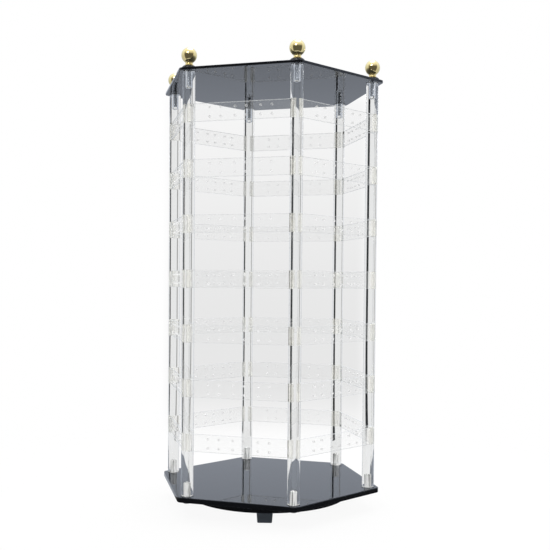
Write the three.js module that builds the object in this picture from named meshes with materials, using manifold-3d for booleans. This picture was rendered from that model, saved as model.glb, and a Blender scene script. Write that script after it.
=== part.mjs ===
// Turning earring stand: a six-sided tower of clear rods and drilled strips on a ball-bearing turntable.
// Millimetres, +Z up. The origin is on the floor under the tower's axis, and one rod stands in front on -Y.
import * as THREE from "three";
import { mergeVertices } from "three/addons/utils/BufferGeometryUtils.js";
import Module from "manifold-3d";

const wasm = await Module();
wasm.setup();

// Plates
const plateCorner = 118; // axis to the sharp corner of the hexagon
const plateRounding = 6; // radius of its corners
const plateCornerFacets = 2;
const basePlateThickness = 5;
const topPlateThickness = 2.5;

// Rods
const rodInset = 11.5; // plate corner to rod axis
const rodDiameter = 12;
const boreDepth = 15; // threaded hole in each rod end
const boreFacets = 8;
const rodFacets = 12;

// Tiers of strips
const tierCount = 7;
const tierPitch = 52.4;
const bottomRoom = 52.3; // base plate to the middle of the lowest tier
const topRoom = 39.6; // middle of the highest tier to the top plate
const stripHeight = 17;
const stripThickness = 2;
const stripCover = 1.6; // rod material left outside a strip's outer face
const stripSetback = 2; // strip end to the line where neighbouring strips would meet

// Earring holes
const holeDiameter = 1.6;
const holeFacets = 3; // few, because there are hundreds of holes
const holeRowGap = 8.6;
const holePairCount = 3;
const holePairPitch = 25;
const holePairGap = 11;

// Ball finials
const ballDiameter = 15;
const ballRise = 9.8; // washer to the ball's centre
const neckDiameter = 7;
const washerDiameter = 13.8;
const washerThickness = 3;
const studDiameter = 4;
const studReach = 13; // stud length inside the rod
const finialFacets = 10;
const ballSteps = 5;

// Turntable
const discDiameter = 166;
const discThickness = 2.5;
const discDepth = 9.1; // overall depth of the disc with its skirt
const discEdge = 0.8; // softening of the disc's outer edges
const skirtWall = 2.5;
const skirtGap = 1; // running gap round the fixed base
const turnBaseThickness = 3;
const turnFacets = 28;
const hubDiameter = 18;

// Ball race
const raceDiameter = 90;
const raceBallDiameter = 4;
const raceBallCount = 8;
const raceBallFacets = 6;
const raceBallRings = 4;
const raceDepth = 0.8;
const raceWidth = 5;
const cageWidth = 9;
const cageThickness = 1;

// Feet
const footCount = 3;
const footWidth = 16; // along the rim, where the foot meets the base
const footDepth = 10; // towards the tower's axis
const footCorner = 2; // radius of its upright corners
const footCornerFacets = 2;
const footTaper = 0.9; // how far each side has drawn in at the floor
const footRounding = 1; // of its floor edge
const footHeight = 11.6;
const footMargin = 1; // foot to the rim of the fixed base
const footBearing = -105; // degrees from +X to the foremost foot

// Pivot screw
const pivotDiameter = 6;
const pivotHeadDiameter = 14;
const pivotHeadHeight = 2.2;
const pivotFacets = 12;

// Clearances
const seatGap = 0.2; // between parts that stand on each other
const slotGap = 0.2; // all round a strip's end in its slot
const boreGap = 0.3; // round a stud or screw
const padGap = 0.3; // adhesive film between the disc and the base plate
const raceGap = 0.2; // between a ball and its groove

// Names of the six corners and of the six faces that follow them anticlockwise
const corners = ["front", "front_right", "back_right", "back", "back_left", "front_left"];
const faces = ["front_right", "right", "back_right", "back_left", "left", "front_left"];
const sector = (2 * Math.PI) / corners.length;
const frontAngle = -Math.PI / 2;

// Heights, stacked up from the floor
const turnBaseTop = footHeight + turnBaseThickness;
const discUnder = turnBaseTop + raceBallDiameter + 2 * (raceGap - raceDepth);
const discTop = discUnder + discThickness;
const discRim = discTop - discDepth;
const basePlateUnder = discTop + padGap;
const basePlateTop = basePlateUnder + basePlateThickness;
const topPlateUnder = basePlateTop + bottomRoom + (tierCount - 1) * tierPitch + topRoom;
const topPlateTop = topPlateUnder + topPlateThickness;

// Plan of the rods and strips
const rodCircle = plateCorner - rodInset;
const stripSetOut = rodDiameter / 2 - stripCover - stripThickness / 2; // rod axis to a strip's middle plane
const stripPlane = rodCircle * Math.cos(sector / 2) + stripSetOut;
const stripMitre = stripPlane / Math.cos(sector / 2); // axis to the line where the middle planes cross
const stripLength = 2 * (stripMitre * Math.sin(sector / 2) - stripSetback);
const boreRadius = studDiameter / 2 + boreGap;

// Colours and finishes
const finishes = {
  black: { color: 0x0c0c0e, roughness: 0.08, metalness: 0 },
  clear: { color: 0xf2f6f6, roughness: 0.04, metalness: 0, transparent: true, opacity: 0.35 },
  gold: { color: 0xd6b04c, roughness: 0.12, metalness: 1 },
  slate: { color: 0x33393e, roughness: 0.7, metalness: 0 },
  steel: { color: 0xb8bcc0, roughness: 0.3, metalness: 1 },
};

const stand = new THREE.Group();

// Adds one named part with a material of its own
function addPart(name, geometry, finish) {
  const part = new THREE.Mesh(geometry, new THREE.MeshStandardMaterial(finishes[finish]));
  part.name = name;
  stand.add(part);
  return part;
}

// A three.js geometry as a solid for cutting and joining
function solidFrom(geometry) {
  const bare = geometry.clone();
  bare.deleteAttribute("normal");
  bare.deleteAttribute("uv");
  const merged = mergeVertices(bare, 1e-4);
  const vertProperties = new Float32Array(merged.getAttribute("position").array);
  const triVerts = new Uint32Array(merged.getIndex().array);
  return new wasm.Manifold(new wasm.Mesh({ numProp: 3, vertProperties, triVerts }));
}

// A solid back as a three.js geometry
function geometryFrom(solid) {
  const mesh = solid.getMesh();
  const geometry = new THREE.BufferGeometry();
  geometry.setAttribute("position", new THREE.BufferAttribute(mesh.vertProperties, 3));
  geometry.setIndex(new THREE.BufferAttribute(mesh.triVerts, 1));
  geometry.computeVertexNormals();
  return geometry;
}

// Points of an arc, both ends included
function arcPoints(x, y, radius, from, to, steps) {
  const points = [];
  for (let i = 0; i <= steps; i += 1) {
    const angle = from + ((to - from) * i) / steps;
    points.push(new THREE.Vector2(x + radius * Math.cos(angle), y + radius * Math.sin(angle)));
  }
  return points;
}

// A round hole for a flat shape, as a regular polygon of the circle's own area
function roundHole(x, y, diameter, facets) {
  const step = (2 * Math.PI) / facets;
  const radius = (diameter / 2) * Math.sqrt(step / Math.sin(step));
  const points = arcPoints(x, y, radius, Math.PI / 2, Math.PI / 2 + 2 * Math.PI, facets);
  points.pop();
  return new THREE.Path(points);
}

// A profile of [radius, height] points turned about Z
function turned(profile, facets) {
  const points = profile.map(([radius, height]) => new THREE.Vector2(radius, height));
  return new THREE.LatheGeometry(points, facets).rotateX(Math.PI / 2);
}

// A closed ring profile: its first point comes again at the end
function turnedRing(profile, facets) {
  return turned([...profile, profile[0]], facets);
}

// An upright cylinder standing on the given height
function uprightCylinder(diameter, bottom, top, facets) {
  const height = top - bottom;
  const geometry = new THREE.CylinderGeometry(diameter / 2, diameter / 2, height, facets);
  return geometry.rotateX(Math.PI / 2).translate(0, 0, bottom + height / 2);
}

// Hexagonal plate with rounded corners and a hole over each rod
function plate(thickness) {
  const roundingCentre = plateCorner - plateRounding / Math.cos(sector / 2);
  const outline = [];
  const holes = [];
  for (let i = 0; i < corners.length; i += 1) {
    const angle = frontAngle + i * sector;
    const x = Math.cos(angle);
    const y = Math.sin(angle);
    const half = sector / 2;
    const arcX = x * roundingCentre;
    const arcY = y * roundingCentre;
    outline.push(...arcPoints(arcX, arcY, plateRounding, angle - half, angle + half, plateCornerFacets));
    holes.push(roundHole(x * rodCircle, y * rodCircle, 2 * boreRadius, boreFacets));
  }
  const shape = new THREE.Shape(outline);
  shape.holes.push(...holes);
  return new THREE.ExtrudeGeometry(shape, { depth: thickness, bevelEnabled: false });
}

// Round rod with a hole in each end and two slots at each tier; +X points away from the tower's axis
function rod() {
  const length = topPlateUnder - basePlateTop - 2 * seatGap;
  let solid = solidFrom(uprightCylinder(rodDiameter, 0, length, rodFacets));
  const overrun = 1; // cutters reach this far past the surface that they open
  const lowerBore = uprightCylinder(2 * boreRadius, -overrun, boreDepth, boreFacets);
  const upperBore = uprightCylinder(2 * boreRadius, length - boreDepth, length + overrun, boreFacets);
  solid = solid.subtract(solidFrom(lowerBore)).subtract(solidFrom(upperBore));
  const slotStart = stripSetback - slotGap;
  const slotEnd = rodDiameter;
  const slotTurn = (Math.PI + sector) / 2;
  for (let tier = 0; tier < tierCount; tier += 1) {
    const height = bottomRoom + tier * tierPitch - seatGap;
    for (const side of [-1, 1]) {
      const slot = new THREE.BoxGeometry(
        slotEnd - slotStart,
        stripThickness + 2 * slotGap,
        stripHeight + 2 * slotGap,
      );
      slot.translate((slotStart + slotEnd) / 2, 0, 0);
      slot.rotateZ(side * slotTurn);
      slot.translate(stripMitre - rodCircle, 0, height);
      solid = solid.subtract(solidFrom(slot));
    }
  }
  return geometryFrom(solid);
}

// Flat strip drilled with pairs of earring holes in two rows; +X is its outer face
function strip() {
  const halfLength = stripLength / 2;
  const halfHeight = stripHeight / 2;
  const shape = new THREE.Shape();
  shape.moveTo(-halfLength, -halfHeight);
  shape.lineTo(halfLength, -halfHeight);
  shape.lineTo(halfLength, halfHeight);
  shape.lineTo(-halfLength, halfHeight);
  shape.closePath();
  for (let pair = 0; pair < holePairCount; pair += 1) {
    const middle = (pair - (holePairCount - 1) / 2) * holePairPitch;
    for (const side of [-1, 1]) {
      for (const row of [-1, 1]) {
        const x = middle + (side * holePairGap) / 2;
        const y = (row * holeRowGap) / 2;
        shape.holes.push(roundHole(x, y, holeDiameter, holeFacets));
      }
    }
  }
  const geometry = new THREE.ExtrudeGeometry(shape, { depth: stripThickness, bevelEnabled: false });
  geometry.translate(0, 0, -stripThickness / 2);
  const upright = new THREE.Matrix4().makeBasis(
    new THREE.Vector3(0, 1, 0),
    new THREE.Vector3(0, 0, 1),
    new THREE.Vector3(1, 0, 0),
  );
  return geometry.applyMatrix4(upright);
}

// Turned ball with a short neck, a washer and a stud for the rod; zero is the top plate's upper face
function finial() {
  const stud = studDiameter / 2;
  const neck = neckDiameter / 2;
  const ball = ballDiameter / 2;
  const studEnd = -topPlateThickness - seatGap - studReach;
  const washerTop = seatGap + washerThickness;
  const ballCentre = washerTop + ballRise;
  const neckMeetsBall = -Math.acos(neck / ball);
  const profile = [
    [0, studEnd],
    [stud, studEnd],
    [stud, seatGap],
    [washerDiameter / 2, seatGap],
    [washerDiameter / 2, washerTop],
    [neck, washerTop],
  ];
  for (const point of arcPoints(0, ballCentre, ball, neckMeetsBall, Math.PI / 2, ballSteps)) {
    profile.push([point.x, point.y]);
  }
  profile[profile.length - 1][0] = 0;
  return turned(profile, finialFacets);
}

// Skirted disc that turns with the tower, with the upper half of the ball race and the hub under it
function turntableDisc() {
  const outer = discDiameter / 2;
  const race = raceDiameter / 2;
  const bore = pivotDiameter / 2 + boreGap;
  const profile = [
    [bore, turnBaseTop + seatGap],
    [hubDiameter / 2, turnBaseTop + seatGap],
    [hubDiameter / 2, discUnder],
    [race - raceWidth / 2, discUnder],
    [race - raceWidth / 2 + raceDepth, discUnder + raceDepth],
    [race + raceWidth / 2 - raceDepth, discUnder + raceDepth],
    [race + raceWidth / 2, discUnder],
    [outer - skirtWall, discUnder],
    [outer - skirtWall, discRim],
    [outer - discEdge, discRim],
    [outer, discRim + discEdge],
    [outer, discTop - discEdge],
    [outer - discEdge, discTop],
    [bore, discTop],
  ];
  return turnedRing(profile, turnFacets);
}

// Moulded foot: a block with rounded corners that draws in towards the floor; +X faces outwards
function foot() {
  const halfDepth = footDepth / 2;
  const halfWidth = footWidth / 2;
  const quarter = Math.PI / 2;
  const outline = [];
  [[1, 1], [-1, 1], [-1, -1], [1, -1]].forEach(([along, across], i) => {
    const x = along * (halfDepth - footCorner);
    const y = across * (halfWidth - footCorner);
    outline.push(...arcPoints(x, y, footCorner, i * quarter, (i + 1) * quarter, footCornerFacets));
  });
  const root = footHeight + turnBaseThickness / 2; // the foot ends inside the base
  const block = new THREE.ExtrudeGeometry(new THREE.Shape(outline), {
    depth: root - 2 * footRounding,
    bevelThickness: footRounding,
    bevelSize: footRounding,
    bevelOffset: -footRounding,
    bevelSegments: 2,
  });
  block.translate(0, 0, footRounding);
  const positions = block.getAttribute("position");
  for (let i = 0; i < positions.count; i += 1) {
    const inset = footTaper * (1 - positions.getZ(i) / footHeight);
    const x = positions.getX(i) * (1 - inset / halfDepth);
    const y = positions.getY(i) * (1 - inset / halfWidth);
    positions.setXY(i, x, y);
  }
  return block;
}

// Fixed base with the lower half of the ball race and its moulded feet
function turntableBase() {
  const outer = discDiameter / 2 - skirtWall - skirtGap;
  const race = raceDiameter / 2;
  const bore = pivotDiameter / 2 + boreGap;
  const dish = [
    [bore, footHeight],
    [outer, footHeight],
    [outer, turnBaseTop],
    [race + raceWidth / 2, turnBaseTop],
    [race + raceWidth / 2 - raceDepth, turnBaseTop - raceDepth],
    [race - raceWidth / 2 + raceDepth, turnBaseTop - raceDepth],
    [race - raceWidth / 2, turnBaseTop],
    [bore, turnBaseTop],
  ];
  let solid = solidFrom(turnedRing(dish, turnFacets));
  const footCircle = outer - footMargin - footDepth / 2;
  for (let i = 0; i < footCount; i += 1) {
    const standing = foot();
    standing.translate(footCircle, 0, 0);
    standing.rotateZ(THREE.MathUtils.degToRad(footBearing + (i * 360) / footCount));
    solid = solid.add(solidFrom(standing));
  }
  return geometryFrom(solid);
}

// Flat cage ring with its row of balls
function ballRing() {
  const middle = (turnBaseTop + discUnder) / 2;
  const race = raceDiameter / 2;
  const ring = [
    [race - cageWidth / 2, middle - cageThickness / 2],
    [race + cageWidth / 2, middle - cageThickness / 2],
    [race + cageWidth / 2, middle + cageThickness / 2],
    [race - cageWidth / 2, middle + cageThickness / 2],
  ];
  let solid = solidFrom(turnedRing(ring, turnFacets));
  for (let i = 0; i < raceBallCount; i += 1) {
    const angle = (i * 2 * Math.PI) / raceBallCount;
    const ball = new THREE.SphereGeometry(raceBallDiameter / 2, raceBallFacets, raceBallRings);
    ball.rotateX(Math.PI / 2);
    ball.translate(race * Math.cos(angle), race * Math.sin(angle), middle);
    solid = solid.add(solidFrom(ball));
  }
  return geometryFrom(solid);
}

// Screw that hangs the fixed base from the disc's hub, with its head below the base
function pivotScrew() {
  const shank = pivotDiameter / 2;
  const head = pivotHeadDiameter / 2;
  const headTop = footHeight - seatGap;
  const tip = discTop - seatGap;
  const profile = [
    [0, headTop - pivotHeadHeight],
    [head, headTop - pivotHeadHeight],
    [head, headTop],
    [shank, headTop],
    [shank, tip],
    [0, tip],
  ];
  return turned(profile, pivotFacets);
}

addPart("turntable_base", turntableBase(), "slate");
addPart("ball_ring", ballRing(), "steel");
addPart("turntable_disc", turntableDisc(), "black");
addPart("pivot_screw", pivotScrew(), "steel");
addPart("base_plate", plate(basePlateThickness), "black").position.z = basePlateUnder;
addPart("top_plate", plate(topPlateThickness), "black").position.z = topPlateUnder;

const rodGeometry = rod();
const finialGeometry = finial();
corners.forEach((corner, i) => {
  const angle = frontAngle + i * sector;
  const x = rodCircle * Math.cos(angle);
  const y = rodCircle * Math.sin(angle);
  const standing = addPart(`rod_${corner}`, rodGeometry, "clear");
  standing.position.set(x, y, basePlateTop + seatGap);
  standing.rotation.z = angle;
  const knob = addPart(`finial_${corner}`, finialGeometry, "gold");
  knob.position.set(x, y, topPlateTop);
  knob.rotation.z = angle;
});

const stripGeometry = strip();
faces.forEach((face, i) => {
  const angle = frontAngle + (i + 0.5) * sector;
  for (let tier = 0; tier < tierCount; tier += 1) {
    const bar = addPart(`strip_${face}_${tier + 1}`, stripGeometry, "clear");
    const height = basePlateTop + bottomRoom + tier * tierPitch;
    bar.position.set(stripPlane * Math.cos(angle), stripPlane * Math.sin(angle), height);
    bar.rotation.z = angle;
  }
});

export default stand;
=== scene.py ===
import math
import bmesh
import bpy
import numpy as np
from mathutils import Matrix, Vector


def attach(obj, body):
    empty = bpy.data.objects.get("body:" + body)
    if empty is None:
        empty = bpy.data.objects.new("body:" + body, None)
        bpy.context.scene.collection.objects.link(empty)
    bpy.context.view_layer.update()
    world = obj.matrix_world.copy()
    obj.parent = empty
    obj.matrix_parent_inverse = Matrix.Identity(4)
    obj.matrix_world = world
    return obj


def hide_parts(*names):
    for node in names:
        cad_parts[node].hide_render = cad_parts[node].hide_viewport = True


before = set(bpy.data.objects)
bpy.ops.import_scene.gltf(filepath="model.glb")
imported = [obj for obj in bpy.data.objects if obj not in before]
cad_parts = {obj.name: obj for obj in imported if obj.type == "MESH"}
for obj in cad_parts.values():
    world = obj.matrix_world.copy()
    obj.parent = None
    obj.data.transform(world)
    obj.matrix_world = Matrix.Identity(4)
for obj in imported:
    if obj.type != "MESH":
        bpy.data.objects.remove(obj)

scene = bpy.context.scene
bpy.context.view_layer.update()  # box of the solids, before anything is added
millimetre = 0.001
print("frame loaded:", len(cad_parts), "nodes")

# corners go round anticlockwise from the front, and each face follows its corner
tower = {
    "corners": ("front", "front_right", "back_right", "back", "back_left", "front_left"),
    "faces": ("front_right", "right", "back_right", "back_left", "left", "front_left"),
    "frontAngle": -90.0,
    "rodCircle": 106.5,
    "tiers": 7,
    "firstTier": 77.5,  # middle of the lowest tier above the floor
    "tierPitch": 52.4,
    "basePlateUnder": 20.2,
    "basePlateTop": 25.2,
    "topPlateUnder": 431.5,
    "topPlateTop": 434.0,
}
cornerAngles = np.radians(tower["frontAngle"] + 60.0 * np.arange(6))
faceAngles = cornerAngles + math.radians(30.0)
tierHeights = tower["firstTier"] + tower["tierPitch"] * np.arange(tower["tiers"])


# camera
shot = {
    "place": (-0.2072, -0.8803, 0.23379),
    "heading": 76.65,  # degrees from +X
    "pitch": 0.03195,  # radians down
    "roll": 0.00796,
    "lens": 56.68,
    "sensor": 36.0,
    "shift": (0.0085, 0.06),
    "clip": (0.01, 50.0),
}


def makeCamera(s):
    # forward is the level heading tipped down by the pitch; right and up are then turned by the roll
    heading = math.radians(s["heading"])
    level = Vector((math.cos(heading), math.sin(heading), 0))
    forward = level * math.cos(s["pitch"]) - Vector((0, 0, math.sin(s["pitch"])))
    right = forward.cross(Vector((0, 0, 1))).normalized()
    up = right.cross(forward)
    turnedRight = right * math.cos(s["roll"]) + up * math.sin(s["roll"])
    turnedUp = up * math.cos(s["roll"]) - right * math.sin(s["roll"])
    data = bpy.data.cameras.new("camera")
    data.lens = s["lens"]
    data.sensor_width = s["sensor"]
    data.shift_x, data.shift_y = s["shift"]
    data.clip_start, data.clip_end = s["clip"]
    camera = bpy.data.objects.new("camera", data)
    scene.collection.objects.link(camera)
    camera.matrix_world = Matrix((
        (turnedRight.x, turnedUp.x, -forward.x, s["place"][0]),
        (turnedRight.y, turnedUp.y, -forward.y, s["place"][1]),
        (turnedRight.z, turnedUp.z, -forward.z, s["place"][2]),
        (0, 0, 0, 1),
    ))
    scene.camera = camera


makeCamera(shot)
print("camera set")


# surfaces from arrays
meshCare = {"merge": 2e-7, "sliver": 1e-7, "crease": 32.0}  # metres, and degrees


def gridQuads(rows, columns, wrapRows=False, wrapColumns=True):
    # quad (r, c) joins grid points r, r+1 along rows and c, c+1 round columns
    r = np.arange(rows if wrapRows else rows - 1)[:, None]
    c = np.arange(columns if wrapColumns else columns - 1)[None, :]
    r2, c2 = (r + 1) % rows, (c + 1) % columns
    quads = np.stack([r * columns + c, r * columns + c2, r2 * columns + c2, r2 * columns + c], -1)
    return quads.reshape(-1, 4)


def softProfile(points, reach, steps=6):
    # each inner corner b is cut back by its reach and bridged by the parabola (1-t)^2 p + 2t(1-t) b + t^2 q
    points = np.asarray(points, float)
    reach = np.broadcast_to(np.asarray(reach, float), (len(points) - 2,))[:, None]
    b = points[1:-1]
    before, after = points[:-2] - b, points[2:] - b
    p = b + before / np.linalg.norm(before, axis=1, keepdims=True) * reach
    q = b + after / np.linalg.norm(after, axis=1, keepdims=True) * reach
    t = np.linspace(0, 1, steps)[None, :, None]
    bridged = (1 - t) ** 2 * p[:, None] + 2 * t * (1 - t) * b[:, None] + t ** 2 * q[:, None]
    return np.vstack([points[:1], bridged.reshape(-1, 2), points[-1:]])


def turnedPoints(profile, count):
    # a profile (radius, height) carried round the upright axis: (r cos a, r sin a, z)
    a = np.linspace(0, 2 * np.pi, count, endpoint=False)[None, :]
    r, z = profile[:, 0:1], profile[:, 1:2]
    return np.stack([r * np.cos(a), r * np.sin(a), z + 0 * a], -1).reshape(-1, 3)


def placed(points, angle, shift):
    # turned about the upright axis, then moved
    c, s = math.cos(angle), math.sin(angle)
    turn = np.array([[c, -s, 0], [s, c, 0], [0, 0, 1]])
    return points @ turn.T + np.asarray(shift, float)


def spotAt(radius, angle, height=0.0):
    # (r cos a, r sin a, z)
    return radius * math.cos(angle), radius * math.sin(angle), height


def atHeight(flat, z):
    # a flat ring lifted to one height
    return np.column_stack([flat, np.full(len(flat), z)])


def onAxis(count, z):
    # a row that closes to a point on the axis
    return np.zeros((count, 3)) + (0, 0, z)


def makePiece(name, points, quads, materials, body, nodes, which=None, crease=meshCare["crease"]):
    # points in millimetres; doubled points at poles and seams are merged, and faces are turned outwards
    mesh = bpy.data.meshes.new(name)
    mesh.from_pydata((points * millimetre).tolist(), [], quads.tolist())
    for m in materials:
        mesh.materials.append(m)
    if which is not None:
        mesh.polygons.foreach_set("material_index", np.asarray(which, np.int32))
    work = bmesh.new()
    work.from_mesh(mesh)
    bmesh.ops.remove_doubles(work, verts=work.verts, dist=meshCare["merge"])
    bmesh.ops.dissolve_degenerate(work, edges=work.edges, dist=meshCare["sliver"])
    bmesh.ops.recalc_face_normals(work, faces=work.faces)
    work.to_mesh(mesh)
    work.free()
    mesh.polygons.foreach_set("use_smooth", np.ones(len(mesh.polygons), bool))
    mesh.set_sharp_from_angle(angle=math.radians(crease))
    piece = bpy.data.objects.new(name, mesh)
    scene.collection.objects.link(piece)
    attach(piece, body)
    if nodes:
        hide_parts(*nodes)


def turnedPiece(name, profile, count, material, body, nodes, shift=(0, 0, 0), loop=False):
    # loop closes the profile on itself, for a ring
    points = placed(turnedPoints(profile, count), 0.0, shift)
    quads = gridQuads(len(profile), count, wrapRows=loop)
    makePiece(name, points, quads, [material], body, nodes)


def gridPiece(name, rows, angle, spot, material, body, nodes=(), crease=meshCare["crease"]):
    # rows of points that close round each row
    points = placed(rows.reshape(-1, 3), angle, spot)
    quads = gridQuads(rows.shape[0], rows.shape[1])
    makePiece(name, points, quads, [material], body, nodes, crease=crease)


# material helpers
def setSocket(tree, socket, value):
    if isinstance(value, bpy.types.NodeSocket):
        tree.links.new(value, socket)
    else:
        socket.default_value = value


def addNode(tree, kind, settings=None, **inputs):
    # an input is given by its name, with _ for a space, or as i and its index
    n = tree.nodes.new(kind)
    for key, value in (settings or {}).items():
        setattr(n, key, value)
    for key, value in inputs.items():
        byIndex = key[0] == "i" and key[1:].isdigit()
        setSocket(tree, n.inputs[int(key[1:]) if byIndex else key.replace("_", " ")], value)
    return n


def mathNode(tree, operation, a, b=0.0, c=0.0, clamp=False):
    settings = {"operation": operation, "use_clamp": clamp}
    return addNode(tree, "ShaderNodeMath", settings, i0=a, i1=b, i2=c).outputs[0]


def rangeNode(tree, value, low, high, toLow=0.0, toHigh=1.0):
    return addNode(tree, "ShaderNodeMapRange", {"interpolation_type": "SMOOTHSTEP"}, i0=value,
                   i1=low, i2=high, i3=toLow, i4=toHigh).outputs[0]


def vectorNode(tree, operation, a, b=(0, 0, 0)):
    return addNode(tree, "ShaderNodeVectorMath", {"operation": operation}, i0=a, i1=b)


def noiseNode(tree, vector, **inputs):
    return addNode(tree, "ShaderNodeTexNoise", Vector=vector, **inputs).outputs["Fac"]


def stretchNode(tree, vector, scale, turn=(0, 0, 0)):
    return addNode(tree, "ShaderNodeMapping", Vector=vector, Rotation=turn, Scale=scale).outputs[0]


def heightNode(tree, vector):
    return addNode(tree, "ShaderNodeSeparateXYZ", Vector=vector).outputs["Z"]


def bumpNode(tree, height, strength, distance):
    return addNode(tree, "ShaderNodeBump", Height=height, Strength=strength, Distance=distance).outputs[0]


def mixColour(tree, share, a, b):
    n = addNode(tree, "ShaderNodeMix", {"data_type": "RGBA"}, i0=share)
    for index, value in ((6, a), (7, b)):
        isLink = isinstance(value, bpy.types.NodeSocket)
        setSocket(tree, n.inputs[index], value if isLink else (*value, 1.0))
    return n.outputs[2]


def newGroup(name, inputs, output):
    tree = bpy.data.node_groups.new(name, "ShaderNodeTree")
    tree.interface.new_socket("Vector", in_out="INPUT", socket_type="NodeSocketVector")
    for label, value in inputs.items():
        tree.interface.new_socket(label, in_out="INPUT", socket_type="NodeSocketFloat").default_value = value
    tree.interface.new_socket(output, in_out="OUTPUT", socket_type="NodeSocketFloat")
    return tree, tree.nodes.new("NodeGroupInput").outputs, tree.nodes.new("NodeGroupOutput").inputs


# wear shared by the materials
marks = {
    "scratchSets": (((0.3, 0.2, 0.5), (0.06, 1.0, 1.0)), ((0.1, 0.4, 2.2), (1.0, 0.05, 0.7))),
    "scratchPeak": (0.66, 0.74), "speckEdge": (0.10, 0.24), "patchScale": 18.0, "patchRange": (0.42, 0.68),
    "smudgeRange": (0.35, 0.75),
}


def buildHairScratches(s):
    # two crossing sets of long thin noise, kept only where they peak
    tree, given, out = newGroup("hairScratches", {"Scale": 60.0, "Cover": 0.5}, "Mask")
    masks = []
    for turn, stretch in s["scratchSets"]:
        mapped = stretchNode(tree, given["Vector"], stretch, turn)
        noise = noiseNode(tree, mapped, Scale=given["Scale"], Detail=3.0, Roughness=0.6)
        masks.append(rangeNode(tree, noise, *s["scratchPeak"]))
    both = mathNode(tree, "MAXIMUM", masks[0], masks[1])
    tree.links.new(mathNode(tree, "MULTIPLY", both, given["Cover"]), out["Mask"])
    return tree


def buildDust(s):
    # small round specks of a cell pattern, thinned out by a slow noise
    tree, given, out = newGroup("dustSpecks", {"Scale": 300.0, "Cover": 0.5}, "Mask")
    cells = addNode(tree, "ShaderNodeTexVoronoi", {"feature": "F1"}, Vector=given["Vector"],
                    Scale=given["Scale"])
    speck = rangeNode(tree, cells.outputs["Distance"], *s["speckEdge"], 1.0, 0.0)
    patches = noiseNode(tree, given["Vector"], Scale=s["patchScale"], Detail=2.0)
    spread = mathNode(tree, "MULTIPLY", speck, rangeNode(tree, patches, *s["patchRange"]))
    tree.links.new(mathNode(tree, "MULTIPLY", spread, given["Cover"]), out["Mask"])
    return tree


def buildSmudges(s):
    # slow cloudy variation from wiping and handling
    tree, given, out = newGroup("handlingSmudges", {"Scale": 25.0}, "Amount")
    noise = noiseNode(tree, given["Vector"], Scale=given["Scale"], Detail=4.0, Roughness=0.55, Distortion=0.6)
    tree.links.new(rangeNode(tree, noise, *s["smudgeRange"]), out["Amount"])
    return tree


hairScratches = buildHairScratches(marks)
dustSpecks = buildDust(marks)
handlingSmudges = buildSmudges(marks)


def groupNode(tree, group, vector, **inputs):
    n = addNode(tree, "ShaderNodeGroup", {"node_tree": group}, Vector=vector, **inputs)
    return n.outputs[0]


def newMaterial(name):
    material = bpy.data.materials.new(name)
    material.use_nodes = True
    tree = material.node_tree
    place = tree.nodes.new("ShaderNodeTexCoord").outputs["Object"]
    return material, tree, tree.nodes["Principled BSDF"], place


def feed(tree, shader, **inputs):
    for key, value in inputs.items():
        setSocket(tree, shader.inputs[key.replace("_", " ")], value)


def soilMask(tree, lines, share, dust):
    return mathNode(tree, "ADD", mathNode(tree, "MULTIPLY", lines, share), dust, clamp=True)


acrylicIndex = 1.49  # refractive index

blackAcrylicLook = {
    "colour": (0.0030, 0.0034, 0.0044), "dust": (0.045, 0.049, 0.055), "roughness": 0.03, "smudgeRough": 0.03,
    "sheen": (0.86, 0.91, 1.0),  # cool cast of the gloss
    "scratches": {"Scale": 70.0, "Cover": 0.5}, "scratchSoil": 0.10, "scratchRough": 0.06,
    "specks": {"Scale": 420.0, "Cover": 0.30}, "smudges": {"Scale": 22.0},
    "wave": {"Scale": 16.0, "Detail": 1.0}, "waveBump": (0.08, 0.0006),
}


def makeBlackAcrylic(s):
    material, tree, shader, place = newMaterial("blackAcrylic")
    scratches = groupNode(tree, hairScratches, place, **s["scratches"])
    dust = groupNode(tree, dustSpecks, place, **s["specks"])
    smudges = groupNode(tree, handlingSmudges, place, **s["smudges"])
    soil = soilMask(tree, scratches, s["scratchSoil"], dust)
    rough = mathNode(tree, "MULTIPLY_ADD", smudges, s["smudgeRough"], s["roughness"])
    rough = mathNode(tree, "ADD", rough, mathNode(tree, "MULTIPLY", scratches, s["scratchRough"]))
    wave = bumpNode(tree, noiseNode(tree, place, **s["wave"]), *s["waveBump"])
    feed(tree, shader, Base_Color=mixColour(tree, soil, s["colour"], s["dust"]), Roughness=rough, Normal=wave,
         IOR=acrylicIndex, Specular_Tint=(*s["sheen"], 1.0))
    return material


# clear plastic: the rods refract, and the strips' faces are a thin film
clearRodLook = {
    "name": "clearRod", "clear": {"Transmission_Weight": 1.0}, "shadow": (0.90, 0.91, 0.91),
    "colour": (0.985, 0.99, 0.985), "haze": (0.86, 0.87, 0.86), "specks": {"Scale": 520.0, "Cover": 0.2},
    "scratches": {"Scale": 140.0, "Cover": 0.5}, "scratchSoil": 0.25, "scratchRough": 0.05, "roughness": 0.005,
}
stripFaceLook = {
    "name": "clearStrip", "clear": {"Alpha": 0.058},
    "colour": (0.63, 0.645, 0.65), "haze": (0.56, 0.57, 0.57), "specks": {"Scale": 360.0, "Cover": 0.10},
    "scratches": {"Scale": 90.0, "Cover": 0.6}, "scratchSoil": 0.15, "scratchRough": 0.08, "roughness": 0.05,
}


def letLampsThrough(tree, shader, colour):
    # rays to the lamps pass straight through the plastic
    clear = addNode(tree, "ShaderNodeBsdfTransparent", Color=(*colour, 1.0))
    path = tree.nodes.new("ShaderNodeLightPath")
    mix = addNode(tree, "ShaderNodeMixShader", i0=path.outputs["Is Shadow Ray"],
                  i1=shader.outputs[0], i2=clear.outputs[0])
    tree.links.new(mix.outputs[0], tree.nodes["Material Output"].inputs["Surface"])


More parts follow.
